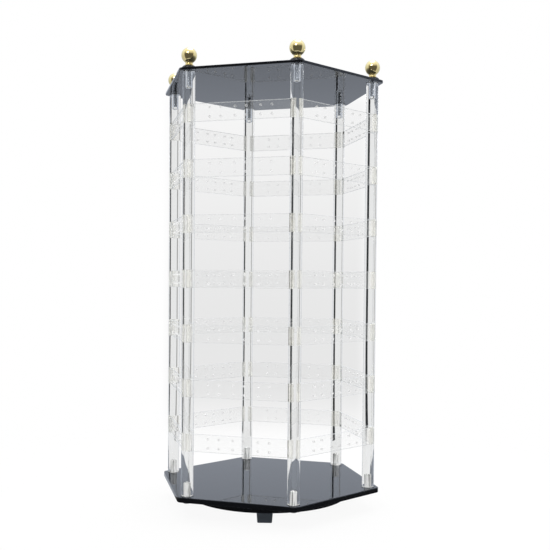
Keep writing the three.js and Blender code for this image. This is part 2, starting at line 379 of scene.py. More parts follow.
def makeClear(s):
    material, tree, shader, place = newMaterial(s["name"])
    scratches = groupNode(tree, hairScratches, place, **s["scratches"])
    soil = soilMask(tree, scratches, s["scratchSoil"], groupNode(tree, dustSpecks, place, **s["specks"]))
    rough = mathNode(tree, "MULTIPLY_ADD", scratches, s["scratchRough"], s["roughness"])
    feed(tree, shader, Base_Color=mixColour(tree, soil, s["colour"], s["haze"]), Roughness=rough,
         IOR=acrylicIndex, **s["clear"])
    if "shadow" in s:
        letLampsThrough(tree, shader, s["shadow"])
    return material


# cut surfaces: a thin film with tool marks, which are noise stretched along or across the cut
frostedLook = {
    "name": "frostedCut",  # cemented slot walls: cream, with level saw marks
    "colour": (1.0, 0.965, 0.86), "marked": (0.95, 0.90, 0.77), "alpha": 0.20, "stretch": (0.15, 0.15, 1.0),
    "noise": {"Scale": 900.0, "Detail": 3.0, "Roughness": 0.7}, "range": (0.45, 0.75), "share": 0.6,
    "roughness": 0.42, "markRough": 0.18,
}
drilledLook = {
    "name": "drilledBore",  # bored rod end: white from the drill, with dark upright streaks
    "colour": (1.0, 0.995, 0.98), "marked": (0.10, 0.098, 0.09), "alpha": 0.80, "stretch": (1.0, 1.0, 0.04),
    "noise": {"Scale": 900.0, "Detail": 2.0, "Roughness": 0.6}, "range": (0.51, 0.60), "share": 0.9,
    "roughness": 0.45, "markRough": 0.2,
}
cutLook = {
    "stretch": (1.0, 1.0, 0.2), "noise": {"Scale": 700.0, "Detail": 2.0}, "range": (0.4, 0.7), "share": 1.0,
    "roughness": 0.18, "markRough": 0.2,
}
stripEdgeLook = {
    **cutLook, "name": "stripCutEdge",
    "colour": (0.68, 0.695, 0.70), "marked": (0.90, 0.91, 0.91), "alpha": 0.62,
}
stripHoleLook = {
    **cutLook, "name": "stripHoleWall",
    "colour": (0.89, 0.89, 0.885), "marked": (0.95, 0.95, 0.945), "alpha": 0.60,
}
stripSinkLook = {
    **cutLook, "name": "stripHoleSink",
    "colour": (0.97, 0.97, 0.965), "marked": (1.0, 1.0, 1.0), "alpha": 0.85,
    "ends": (0.56, 0.56, 0.55), "low": (0.090, 0.120), "high": (0.310, 0.385),  # painted reflection of the black plates: darker near them, seen from outside
}


def makeCut(s):
    # seen from outside, a look with ends turns to that colour below its low range and above its high range: a
    # painted reflection of the black plates near them
    material, tree, shader, place = newMaterial(s["name"])
    mask = rangeNode(tree, noiseNode(tree, stretchNode(tree, place, s["stretch"]), **s["noise"]), *s["range"])
    colour = mixColour(tree, mathNode(tree, "MULTIPLY", mask, s["share"]), s["colour"], s["marked"])
    if "ends" in s:
        height = heightNode(tree, place)
        low, high = rangeNode(tree, height, *s["low"], 1.0, 0.0), rangeNode(tree, height, *s["high"])
        inside = tree.nodes.new("ShaderNodeNewGeometry").outputs["Backfacing"]
        outside = mathNode(tree, "SUBTRACT", 1.0, inside)
        # painted reflection of the black plates, on the outer face only
        paintedPlateReflection = mathNode(tree, "MULTIPLY", mathNode(tree, "ADD", low, high), outside)
        colour = mixColour(tree, paintedPlateReflection, colour, s["ends"])
    rough = mathNode(tree, "MULTIPLY_ADD", mask, s["markRough"], s["roughness"])
    feed(tree, shader, Base_Color=colour, Roughness=rough, IOR=acrylicIndex, Alpha=s["alpha"])
    return material


goldLook = {
    "colour": (1.0, 0.845, 0.43), "warm": (0.95, 0.72, 0.28), "smudges": {"Scale": 140.0}, "smudgeShare": 0.45,
    "roughness": 0.07, "smudgeRough": 0.05, "scratches": {"Scale": 420.0, "Cover": 0.8}, "scratchRough": 0.12,
    "scratchBump": (0.05, 0.0001), "neck": (0.4400, 0.4416), "neckRough": 0.32,  # the neck is less polished
}


def makeGold(s):
    material, tree, shader, place = newMaterial("polishedGold")
    scratches = groupNode(tree, hairScratches, place, **s["scratches"])
    smudges = groupNode(tree, handlingSmudges, place, **s["smudges"])
    share = mathNode(tree, "MULTIPLY", smudges, s["smudgeShare"])
    rough = mathNode(tree, "MULTIPLY_ADD", smudges, s["smudgeRough"], s["roughness"])
    rough = mathNode(tree, "ADD", rough, mathNode(tree, "MULTIPLY", scratches, s["scratchRough"]))
    neck = rangeNode(tree, heightNode(tree, place), *s["neck"], s["neckRough"], 0.0)
    feed(tree, shader, Base_Color=mixColour(tree, share, s["colour"], s["warm"]), Metallic=1.0,
         Roughness=mathNode(tree, "ADD", rough, neck), Normal=bumpNode(tree, scratches, *s["scratchBump"]))
    return material


washerLook = {
    "colour": (0.011, 0.0115, 0.011), "dust": (0.06, 0.06, 0.058), "specks": {"Scale": 900.0, "Cover": 0.5},
    "smudges": {"Scale": 160.0}, "smudgeRough": 0.18, "roughness": 0.26,
}


def makeWasher(s):
    material, tree, shader, place = newMaterial("darkWasher")
    dust = groupNode(tree, dustSpecks, place, **s["specks"])
    smudges = groupNode(tree, handlingSmudges, place, **s["smudges"])
    feed(tree, shader, Base_Color=mixColour(tree, dust, s["colour"], s["dust"]),
         Roughness=mathNode(tree, "MULTIPLY_ADD", smudges, s["smudgeRough"], s["roughness"]))
    return material


slateLook = {
    "colour": (0.060, 0.076, 0.092), "pale": (0.098, 0.118, 0.135),
    "smudges": {"Scale": 60.0}, "smudgeShare": 0.35, "specks": {"Scale": 650.0, "Cover": 0.6},
    "grain": {"Scale": 1500.0, "Detail": 3.0, "Roughness": 0.6}, "grainBump": (0.35, 0.0002),
    "grainRough": 0.2, "roughness": 0.55,
}


def makeSlate(s):
    # moulded grain: a fine noise in bump and roughness
    material, tree, shader, place = newMaterial("slatePlastic")
    grain = noiseNode(tree, place, **s["grain"])
    smudges = groupNode(tree, handlingSmudges, place, **s["smudges"])
    share = soilMask(tree, smudges, s["smudgeShare"], groupNode(tree, dustSpecks, place, **s["specks"]))
    feed(tree, shader, Base_Color=mixColour(tree, share, s["colour"], s["pale"]),
         Roughness=mathNode(tree, "MULTIPLY_ADD", grain, s["grainRough"], s["roughness"]),
         Normal=bumpNode(tree, grain, *s["grainBump"]))
    return material


steelLook = {
    "colour": (0.60, 0.61, 0.63), "dull": (0.42, 0.43, 0.44), "smudges": {"Scale": 120.0},
    "scratches": {"Scale": 500.0, "Cover": 1.0}, "scratchRough": 0.2, "roughness": 0.2,
}


def makeSteel(s):
    material, tree, shader, place = newMaterial("bearingSteel")
    scratches = groupNode(tree, hairScratches, place, **s["scratches"])
    smudges = groupNode(tree, handlingSmudges, place, **s["smudges"])
    feed(tree, shader, Base_Color=mixColour(tree, smudges, s["colour"], s["dull"]), Metallic=1.0,
         Roughness=mathNode(tree, "MULTIPLY_ADD", scratches, s["scratchRough"], s["roughness"]))
    return material


blackAcrylic = makeBlackAcrylic(blackAcrylicLook)
clearRod = makeClear(clearRodLook)
frostedCut = makeCut(frostedLook)
drilledBore = makeCut(drilledLook)
clearStrip = makeClear(stripFaceLook)
stripCutEdge = makeCut(stripEdgeLook)
stripHoleWall = makeCut(stripHoleLook)
stripHoleSink = makeCut(stripSinkLook)
polishedGold = makeGold(goldLook)
darkWasher = makeWasher(washerLook)
slatePlastic = makeSlate(slateLook)
bearingSteel = makeSteel(steelLook)
print("materials made")


# plates
plates = {
    "corner": 118.0, "rounding": 6.0, "arcSteps": 10, "edgeInset": 3.0, "edgeSteps": 7,
    "softEdges": {"base_plate": 0.7, "top_plate": 0.45}, "crease": 40.0,
}


def plateRing(inset, s):
    # six arcs of radius rounding - inset about centres on the corner bearings, joined by straight sides
    half = math.radians(30)
    centre = s["corner"] - s["rounding"] / math.cos(half)
    sweep = np.linspace(-half, half, s["arcSteps"])[None, :]
    a = cornerAngles[:, None]
    radius = s["rounding"] - inset
    x = centre * np.cos(a) + radius * np.cos(a + sweep)
    y = centre * np.sin(a) + radius * np.sin(a + sweep)
    return np.stack([x, y], -1).reshape(-1, 2)


def makePlate(name, under, top, node, s):
    # the edge profile (inset, height) is carried round the rounded hexagon, and both faces close at the axis
    inner, count = s["edgeInset"], 6 * s["arcSteps"]
    edge = softProfile([(inner, under), (0, under), (0, top), (inner, top)], s["softEdges"][node],
                       s["edgeSteps"])
    rings = [atHeight(plateRing(inset, s), z) for inset, z in edge]
    rows = np.array([onAxis(count, under), *rings, onAxis(count, top)])
    gridPiece(name, rows, 0.0, (0, 0, 0), blackAcrylic, "tower", [node], s["crease"])


makePlate("basePlate", tower["basePlateUnder"], tower["basePlateTop"], "base_plate", plates)
makePlate("topPlate", tower["topPlateUnder"], tower["topPlateTop"], "top_plate", plates)
print("plates made")


# rods
rods = {
    "radius": 6.0, "low": 25.4, "high": 431.3, "endSoft": 0.35, "endSteps": 4, "sideRun": 4.0,
    "boreRadius": 2.3, "boreDepths": (12.6, 15.0), "boreSoft": (0.5, 0.25), "drillPoint": 1.3,
    "mitre": 3.93, "slotAngle": 120.0, "slotStart": 1.8, "slotHalf": 1.2, "slotHalfHeight": 8.7,
    "mouthSteps": 9, "backSteps": 28, "frontSteps": 26, "crease": 30.0,
}


def slotPath(s):
    # a slot leaves the rod's side along its angle from a blind end near the outer edge; its walls meet the
    # round surface where the distance along the wall is -d + sqrt(d^2 + r^2 - p^2)
    angle = math.radians(s["slotAngle"])
    along = np.array([math.cos(angle), math.sin(angle)])
    across = np.array([along[1], -along[0]])
    start = np.array([s["mitre"], 0.0]) + np.outer([s["slotHalf"], -s["slotHalf"]], across)
    d = start @ along
    reach = -d + np.sqrt(d ** 2 + s["radius"] ** 2 - (start ** 2).sum(1))
    mouth = start + reach[:, None] * along
    blind = start + s["slotStart"] * along
    third = np.array([0, 1 / 3, 2 / 3])[:, None]
    inward = mouth[0] + third * (blind[0] - mouth[0])
    outward = mouth[1] + third[::-1] * (blind[1] - mouth[1])
    return np.vstack([inward, blind[0], blind.mean(0), blind[1], outward]), mouth


def rodRings(s):
    # the plain ring and the ring with two slots match point by point, so a slot's floor is the step between
    path, mouth = slotPath(s)
    low, high = np.arctan2(mouth[:, 1], mouth[:, 0])
    steps = s["mouthSteps"]
    upper = np.linspace(low, high, steps)
    back = np.linspace(high, 2 * np.pi - high, s["backSteps"])[1:-1]
    lower = 2 * np.pi - upper[::-1]
    front = np.linspace(2 * np.pi - low, 2 * np.pi + low, s["frontSteps"])[1:-1]
    angles = np.concatenate([upper, back, lower, front])
    plain = np.column_stack([np.cos(angles), np.sin(angles)])
    slotted = plain * s["radius"]
    second = steps + len(back)
    slotted[:steps] = path
    slotted[second:second + steps] = (path * (1, -1))[::-1]
    inSlot = np.zeros(len(angles), bool)
    inSlot[:steps - 1] = True
    inSlot[second:second + steps - 1] = True
    return plain, slotted, inSlot


def rodShape(s):
    # one closed surface: lower bore, end face, side with its slots, end face, upper bore
    plain, slotted, inSlot = rodRings(s)
    r, b = s["radius"], s["boreRadius"]
    lowEnd, highEnd = [
        softProfile([(0, depth + s["drillPoint"]), (b, depth), (b, 0), (r, 0), (r, s["sideRun"])],
                    [*s["boreSoft"], s["endSoft"]], s["endSteps"]) for depth in s["boreDepths"]]
    lowRows = [atHeight(plain * k, z) for k, z in lowEnd + (0, s["low"])]
    highRows = [atHeight(plain * k, z) for k, z in highEnd[::-1] * (1, -1) + (0, s["high"])]
    edges = tierHeights[:, None] + np.array([-1, -1, 1, 1]) * s["slotHalfHeight"]
    rings = (plain * r, slotted, slotted, plain * r)
    tierRows = [atHeight(ring, z) for tier in edges for ring, z in zip(rings, tier)]
    rows = lowRows + tierRows + highRows
    which = np.zeros((len(rows) - 1, len(plain)), int)
    which[:1 + 2 * s["endSteps"]] = 2  # the lower bore and the sawn end
    for tier in range(tower["tiers"]):
        first = len(lowRows) + len(rings) * tier
        which[first:first + 3, inSlot] = 1
    return np.vstack(rows), gridQuads(len(rows), len(plain)), which.reshape(-1)


rodPoints, rodQuads, rodWhich = rodShape(rods)
for corner, angle in zip(tower["corners"], cornerAngles):
    makePiece(f"rod_{corner}_clear", placed(rodPoints, angle, spotAt(tower["rodCircle"], angle)), rodQuads,
              [clearRod, frostedCut, drilledBore], "tower", [f"rod_{corner}"], rodWhich,
              rods["crease"])
print("rods made")


# strips
strips = {
    "plane": 95.63, "length": 106.4, "height": 17.0, "thickness": 2.0, "chamfer": 0.25,
    "holeRadius": 0.8, "sinkRadius": 1.15, "sinkDepth": 0.25, "edgeBreak": 0.08,
    "columns": (-30.5, -19.5, -5.5, 5.5, 19.5, 30.5), "rows": (-4.3, 4.3),
    "cellEdges": (-25, -12.5, 0, 12.5, 25),
}


def stripShape(s):
    # twelve cells, each a ring of quads from a round hole to the cell's border, on both faces; the holes are
    # sunk on the outer face; then the hole walls and the chamfered rim
    c = s["chamfer"]
    halfLength, halfHeight, half = s["length"] / 2 - c, s["height"] / 2 - c, s["thickness"] / 2
    xEdges = np.array([-halfLength, *s["cellEdges"], halfLength])
    yEdges = np.array([-halfHeight, 0, halfHeight])
    side = np.arange(4) / 4
    u = np.concatenate([side, np.ones(4), 1 - side, np.zeros(4)])
    v = np.concatenate([np.zeros(4), side, np.ones(4), 1 - side])
    x = xEdges[:-1, None] + np.diff(xEdges)[:, None] * u
    y = yEdges[:-1, None] + np.diff(yEdges)[:, None] * v
    border = np.stack(np.broadcast_arrays(x[:, None, :], y[None, :, :]), -1)
    turn = np.radians(-135 + 22.5 * np.arange(16))

    def circles(radius):
        x = np.array(s["columns"])[:, None, None] + radius * np.cos(turn)
        y = np.array(s["rows"])[None, :, None] + radius * np.sin(turn)
        return np.stack(np.broadcast_arrays(x, y), -1)

    def lifted(flat, z):
        flat = flat.reshape(-1, 2)
        return np.column_stack([np.full(len(flat), z), flat])

    hole, sink = circles(s["holeRadius"]), circles(s["sinkRadius"])
    inner = circles(s["holeRadius"] + s["edgeBreak"])
    layers = [lifted(border, half), lifted(sink, half), lifted(hole, half - s["sinkDepth"]),
              lifted(hole, s["edgeBreak"] - half), lifted(inner, -half), lifted(border, -half)]
    count = len(layers[0])
    k = np.arange(count)
    after = k - k % 16 + (k + 1) % 16
    body = np.vstack([np.column_stack([i * count + k, i * count + after, (i + 1) * count + after,
                                       (i + 1) * count + k]) for i in range(len(layers) - 1)])
    around = np.vstack([border[:, 0, 0:4].reshape(-1, 2), border[-1, :, 4:8].reshape(-1, 2),
                        border[::-1, 1, 8:12].reshape(-1, 2), border[0, ::-1, 12:16].reshape(-1, 2)])
    out = around + c * np.sign(np.where(np.isclose(np.abs(around), (halfLength, halfHeight)), around, 0))
    rim = [lifted(around, half), lifted(out, half - c), lifted(out, c - half), lifted(around, -half)]
    rimQuads = gridQuads(len(rim), len(around)) + len(layers) * count
    which = np.concatenate([np.repeat([0, 3, 2, 2, 0], count), np.ones(len(rimQuads), int)])
    return np.vstack(layers + rim), np.vstack([body, rimQuads]), which


stripPoints, stripQuads, stripWhich = stripShape(strips)
for face, angle in zip(tower["faces"], faceAngles):
    for tier, height in enumerate(tierHeights):
        makePiece(f"strip_{face}_{tier + 1}_drilled",
                  placed(stripPoints, angle, spotAt(strips["plane"], angle, height)), stripQuads,
                  [clearStrip, stripCutEdge, stripHoleWall, stripHoleSink], "tower",
                  [f"strip_{face}_{tier + 1}"], stripWhich)
print("strips made")


# threaded studs and screws
threads = {
    "radius": 2.0, "depth": 0.32, "pitch": 0.8, "around": 20, "perTurn": 6, "runOut": 0.6, "crease": 50.0,
}


def threadedRows(low, high, s):
    # radius = r - depth * triangle wave of (height / pitch - angle / full turn), run out at both ends
    rows = int((high - low) / s["pitch"] * s["perTurn"])
    z = np.linspace(low, high, rows)[:, None]
    a = np.linspace(0, 2 * np.pi, s["around"], endpoint=False)[None, :]
    wave = np.abs(2 * ((z / s["pitch"] - a / (2 * np.pi)) % 1.0) - 1)
    ends = np.clip(np.minimum(z - low, high - z) / s["runOut"], 0, 1)
    r = s["radius"] - s["depth"] * (1 - ends + ends * wave)
    rings = np.stack([r * np.cos(a), r * np.sin(a), z + 0 * a], -1)
    return np.array([onAxis(s["around"], low), *rings, onAxis(s["around"], high)])


def makeStud(name, low, high, spot):
    gridPiece(name, threadedRows(low, high, threads), 0.0, spot, bearingSteel, "tower",
              crease=threads["crease"])


# ball finials
finials = {
    "ballRadius": 7.5, "ballRise": 13.0, "ballSteps": 30, "join": -59.0,  # degrees below the ball's middle
    "neckRadius": 3.35, "neckHollow": 0.5, "neckSteps": 10, "footRadius": 4.1, "footLow": 3.2, "footRise": 0.7,
    "footSoft": 0.3, "footSteps": 4, "around": 56, "studEnds": (-15.5, 3.4),
}
washers = {"radius": 6.9, "low": 0.2, "top": 3.2, "edge": 1.6, "soft": (0.4, 0.7, 0.8), "around": 48}


def finialProfile(s):
    # foot, slightly hollow neck that runs into the ball, then the ball's arc up to its pole
    arc = np.linspace(math.radians(s["join"]), math.pi / 2, s["ballSteps"])
    ball = np.column_stack([s["ballRadius"] * np.cos(arc), s["ballRise"] + s["ballRadius"] * np.sin(arc)])
    ball[-1, 0] = 0
    t = np.linspace(0, 1, s["neckSteps"])[1:-1, None]
    p, q = np.array([s["footRadius"], s["footLow"] + s["footRise"]]), ball[0]
    middle = np.array([s["neckRadius"] - s["neckHollow"], (p[1] + q[1]) / 2])
    neck = (1 - t) ** 2 * p + 2 * t * (1 - t) * middle + t ** 2 * q
    foot = softProfile([(0, s["footLow"]), (s["footRadius"], s["footLow"]), p], s["footSoft"], s["footSteps"])
    return np.vstack([foot, neck, ball])


def washerProfile(s):
    # low dome on a flat underside
    r, low, top, edge = s["radius"], s["low"], s["top"], s["edge"]
    return softProfile([(0, low), (r, low), (r, low + edge), (r - edge, top), (0, top)], s["soft"])


for corner, angle in zip(tower["corners"], cornerAngles):
    spot = spotAt(tower["rodCircle"], angle, tower["topPlateTop"])
    turnedPiece(f"finial_{corner}_ball", finialProfile(finials), finials["around"], polishedGold, "tower",
                [f"finial_{corner}"], spot)
    turnedPiece(f"finial_{corner}_washer", washerProfile(washers), washers["around"], darkWasher, "tower",
                (), spot)
    makeStud(f"finial_{corner}_stud", *finials["studEnds"], spot)
print("finials made")


# pan-head screws from below into the rods
screws = {
    "headRadius": 3.9, "headHeight": 2.3, "headSoft": (0.25, 1.0), "crownRadius": 2.4, "around": 48,
    "slotHalf": 0.5, "slotSoft": 0.25, "slotDepth": 1.3, "slotEnd": 2.2, "slotFade": 0.5, "slotSteps": 9,
    "reach": 3.0, "shankStart": 0.2,
}


def panHead(s):
    # a low crown with a rounded rim; the recess is a cross: the depth falls off with the distance from the
    # nearer of two crossed lines and towards the cross's ends
    z, crown = tower["basePlateUnder"], tower["basePlateUnder"] - s["headHeight"]
    rim = softProfile([(0, z), (s["headRadius"], z), (s["headRadius"], crown), (s["crownRadius"], crown)],
                      s["headSoft"])
    a = np.linspace(0, 2 * np.pi, s["around"], endpoint=False)
    circle = np.column_stack([np.cos(a), np.sin(a)])
    rows = [atHeight(r * circle, h) for r, h in rim]
    for r in s["crownRadius"] * np.linspace(1, 0, s["slotSteps"])[1:]:
        off = np.abs(r * circle).min(1)
        depth = s["slotDepth"] * np.clip((s["slotHalf"] - off) / s["slotSoft"], 0, 1)
        depth = depth * np.clip((s["slotEnd"] - r) / s["slotFade"], 0, 1)
        rows.append(np.column_stack([r * circle, crown + depth]))
    return np.array(rows)


headRows = panHead(screws)
for corner, angle in zip(tower["corners"], cornerAngles):
    spot = spotAt(tower["rodCircle"], angle)
    gridPiece(f"screw_{corner}_head", headRows, angle, spot, bearingSteel, "tower")
    makeStud(f"screw_{corner}_shank", tower["basePlateUnder"] - screws["shankStart"],
             tower["basePlateTop"] + screws["reach"], spot)
print("screws made")


# turntable
turntable = {
    "discRadius": 83.0, "discTop": 19.9, "discUnder": 17.4, "discRim": 10.8, "skirtWall": 2.5,
    "baseRadius": 79.5, "baseUnder": 11.6, "baseTop": 14.6, "bore": 3.3, "hubRadius": 9.0, "hubGap": 0.2,
    "race": 45.0, "raceHalf": 2.5, "raceDepth": 0.8, "around": 144,
    "discSeam": (18.0, 18.4), "baseSeam": (13.2, 13.6),  # where a section starts and ends in the bore
    "discSoft": (0.2, 0.3, 0.4, 0.3, 1.6, 0.3, 0.8, 0.7, 0.9, 0.9, 0.2),
    "baseSoft": (0.2, 0.6, 0.5, 0.3, 1.6, 0.3, 0.2),
}


def discProfile(s):
    # closed section: hub, race groove, skirt with softened rim, flat top
    o, w, hub = s["discRadius"], s["skirtWall"], s["baseTop"] + s["hubGap"]
    points = [(s["bore"], s["discSeam"][0]), (s["bore"], hub), (s["hubRadius"], hub),
              (s["hubRadius"], s["discUnder"]), (s["race"] - s["raceHalf"], s["discUnder"]),
              (s["race"], s["discUnder"] + 2 * s["raceDepth"]), (s["race"] + s["raceHalf"], s["discUnder"]),
              (o - w, s["discUnder"]), (o - w, s["discRim"]), (o, s["discRim"]), (o, s["discTop"]),
              (s["bore"], s["discTop"]), (s["bore"], s["discSeam"][1])]
    return softProfile(points, s["discSoft"])


turnedPiece("turntableDisc", discProfile(turntable), turntable["around"], blackAcrylic, "tower",
            ["turntable_disc"], loop=True)


def baseProfile(s):
    # closed section: flat dish with the lower race groove and softened rim
    o, low, top = s["baseRadius"], s["baseUnder"], s["baseTop"]
    points = [(s["bore"], s["baseSeam"][0]), (s["bore"], low), (o, low), (o, top),
              (s["race"] + s["raceHalf"], top), (s["race"], top - 2 * s["raceDepth"]),
              (s["race"] - s["raceHalf"], top), (s["bore"], top), (s["bore"], s["baseSeam"][1])]
    return softProfile(points, s["baseSoft"])


turnedPiece("turntableBase", baseProfile(turntable), turntable["around"], slatePlastic, "base",
            ["turntable_base"], loop=True)

feet = {
    "count": 3, "bearing": -105.0, "circle": 73.5, "width": 16.0, "depth": 10.0, "corner": 2.0, "taper": 0.9,
    "height": 11.6, "lip": 0.3, "lipHeight": 1.0, "sideTop": (0.1, 1.3), "root": 0.4, "middle": 4.9,
    "hollow": 0.6, "hollowEdge": (2.6, 2.3), "soft": (0.3, 0.2, 1.0, 0.2, 0.2, 0.2), "cornerSteps": 7,
    "leastCorner": 0.05,
}


def footRows(s):
    # a section (inset, height) carried round a rounded block outline: hollow underside, rounded floor edge,
    # sides that draw in towards the floor, and a small lip at the root
    h, lip, root = s["height"], -s["lip"], s["height"] + s["root"]
    inner, outer = s["hollowEdge"]
    section = softProfile([(s["middle"], s["hollow"]), (inner, s["hollow"]), (outer, 0.0), (s["taper"], 0.0),
                           (s["sideTop"][0], h - s["sideTop"][1]), (lip, h - s["lipHeight"]), (lip, root),
                           (s["middle"], root)], s["soft"])
    turn = np.linspace(0, 90, s["cornerSteps"])[None, :]
    turn = np.radians(turn) + np.radians([0, 90, 180, 270])[:, None]
    signs = np.array([(1, 1), (-1, 1), (-1, -1), (1, -1)])
    rows = []
    for inset, z in section:
        corner = max(s["corner"] - inset, s["leastCorner"])
        half = np.array([s["depth"] / 2, s["width"] / 2]) - inset - corner
        x = signs[:, 0:1] * max(half[0], 0) + corner * np.cos(turn)
        y = signs[:, 1:2] * max(half[1], 0) + corner * np.sin(turn)
        rows.append(np.stack([x, y, z + 0 * x], -1).reshape(-1, 3))
    low, high = rows[0] * (0, 1, 1), rows[-1] * (0, 1, 1)  # both ends close along the block's middle line
    return np.array([low, *rows, high])


footBlock = footRows(feet)
for i in range(feet["count"]):
    bearing = math.radians(feet["bearing"] + i * 360 / feet["count"])
    gridPiece(f"foot_{i + 1}", footBlock, bearing, spotAt(feet["circle"], bearing), slatePlastic, "base")

race = {
    "middle": 16.0, "ballRadius": 2.0, "balls": 8, "ballGrid": (17, 28), "cageHalf": 4.5, "cageThick": 1.0,
    "cageSoft": 0.25, "cageSteps": 4, "cageSeam": 0.5, "cageAround": 120,
}


def makeRace(s, t):
    # the cage is a flat closed section (radius, height) carried round the axis
    low, high = s["middle"] - s["cageThick"] / 2, s["middle"] + s["cageThick"] / 2
    inner, outer = t["race"] - s["cageHalf"], t["race"] + s["cageHalf"]
    section = softProfile([(t["race"], low), (outer, low), (outer, high), (inner, high), (inner, low),
                           (t["race"] - s["cageSeam"], low)], s["cageSoft"], s["cageSteps"])
    turnedPiece("ballCage", section, s["cageAround"], bearingSteel, "ball_ring", ["ball_ring"],
                loop=True)
    # each ball is the grid (r cos v cos u, r cos v sin u, r sin v) moved out to the race
    u = np.linspace(0, 2 * np.pi, s["ballGrid"][1], endpoint=False)[None, :]
    v = np.linspace(-np.pi / 2, np.pi / 2, s["ballGrid"][0])[:, None]
    ball = s["ballRadius"] * np.stack([np.cos(v) * np.cos(u), np.cos(v) * np.sin(u), np.sin(v) + 0 * u], -1)
    for i in range(s["balls"]):
        a = 2 * math.pi * i / s["balls"]
        gridPiece(f"raceBall_{i + 1}", ball, a, spotAt(t["race"], a, s["middle"]), bearingSteel, "ball_ring")


makeRace(race, turntable)

pivot = {
    "radius": 3.0, "headRadius": 7.0, "headLow": 9.2, "headTop": 11.4, "tip": 19.7, "recess": 1.1,
    "recessRadii": (2.2, 2.4), "soft": (0.2, 0.2, 0.9, 0.3, 0.15, 0.4), "around": 60,
}


def pivotProfile(s):
    # head with a round drive recess below, plain shank above
    low, inside = s["headLow"], s["headLow"] + s["recess"]
    return softProfile([(0, inside), (s["recessRadii"][0], inside), (s["recessRadii"][1], low),
                        (s["headRadius"], low), (s["headRadius"], s["headTop"]), (s["radius"], s["headTop"]),
                        (s["radius"], s["tip"]), (0, s["tip"])], s["soft"])


turnedPiece("pivotScrew", pivotProfile(pivot), pivot["around"], bearingSteel, "tower",
            ["pivot_screw"])
print("turntable made")


# studio, in metres
studio = {
    "floorRadii": (0.004, 2.4), "floorRings": 24, "floorAround": 97, "floorFade": (0.22, 0.52), "floorEye": 1.0,
    "floorGlow": 0.93, "floorColour": 0.86, "ambient": 0.78, "through": 0.84,
    "glossLow": 0.565, "glossHigh": 0.81, "glossRise": (-0.25, 0.55),
    "glossTop": 1.1, "glossCrown": (0.35, 0.85), "glossCast": (0.93, 1.0, 1.13),
    "backdrop": {
        "heading": 76.75, "shade": 0.20, "side": (0.098, 0.124), "low": (-0.20, -0.115), "high": (-0.08, 0.30),
        "highShare": 0.25, "top": (0.195, 0.213),
    },
    "room": {
        "bearing": 256.8, "halfSweep": 80.0, "soft": 24.0, "shade": 0.10, "rim": 0.80, "rise": (0.9, 2.2),
        "section": ((0.46, 0.004), (2.1, 0.004), (2.2, 1.6), (1.45, 2.3)), "sectionSoft": (0.5, 0.6),
        "sectionSteps": 8, "around": 48,
        "nearShade": 0.07, "nearSection": ((0.080, 0.0015), (0.16, 0.0015), (0.27, 0.0015)), "nearMore": 15,
    },
    "lamps": {
        "keyLamp": ((-0.9, -1.3, 1.5), 0.55, 11.0), "topLamp": ((0.15, 0.25, 1.9), 1.1, 12.0),
        "sideLamp": ((1.5, -0.5, 0.9), 0.8, 7.0),
    },
    "lampAim": (0, 0, 0.25),
    "unseenLamps": ("sideLamp",),  # left out of gloss
    "flags": {
        "right": (47.6, 8.4, 0.0), "left": (105.6, 4.0, 0.30), "repeat": 3,
        "section": ((0.37, 0.003), (2.3, 0.003), (2.4, 1.9)), "soft": 0.15, "around": 5,
    },
    "paintTint": (1.0, 0.98, 0.96),
}


def seenLevel(tree, eye, through, gloss):
    # rays through plastic count as gloss too; they take the gloss level only after a true reflection
    path = tree.nodes.new("ShaderNodeLightPath")
    isEye, isGloss = path.outputs["Is Camera Ray"], path.outputs["Is Glossy Ray"]
    isThrough = path.outputs["Is Transmission Ray"]
    mirrored = mathNode(tree, "GREATER_THAN", path.outputs["Glossy Depth"], 0.5)
    seen = mathNode(tree, "MAXIMUM", mathNode(tree, "MAXIMUM", isEye, isGloss), isThrough)
    inGloss = mathNode(tree, "MULTIPLY", mirrored, mathNode(tree, "MAXIMUM", isGloss, isThrough))
    inClear = mathNode(tree, "MULTIPLY", isThrough, mathNode(tree, "SUBTRACT", 1.0, mirrored))
    level = mathNode(tree, "MULTIPLY", isEye, eye)
    level = mathNode(tree, "ADD", level, mathNode(tree, "MULTIPLY", inClear, through))
    return mathNode(tree, "ADD", level, mathNode(tree, "MULTIPLY", inGloss, gloss)), seen, inGloss


def backdropLevel(tree, way, s):
    # white, and a little grey behind the tower: the shade falls off to both sides, quickly to the floor, slowly
    # upwards, and ends behind the top plate
    h = math.radians(s["heading"])
    along = vectorNode(tree, "DOT_PRODUCT", way, (math.cos(h), math.sin(h), 0)).outputs["Value"]
    across = vectorNode(tree, "DOT_PRODUCT", way, (math.sin(h), -math.cos(h), 0)).outputs["Value"]
    up = heightNode(tree, way)
    shade = rangeNode(tree, mathNode(tree, "ABSOLUTE", across), *s["side"], s["shade"], 0.0)
    for share in (mathNode(tree, "GREATER_THAN", along, 0.0), rangeNode(tree, up, *s["low"]),
                  rangeNode(tree, up, *s["high"], 1.0, s["highShare"]),
                  rangeNode(tree, up, *s["top"], 1.0, 0.0)):
        shade = mathNode(tree, "MULTIPLY", shade, share)
    return mathNode(tree, "SUBTRACT", 1.0, shade)


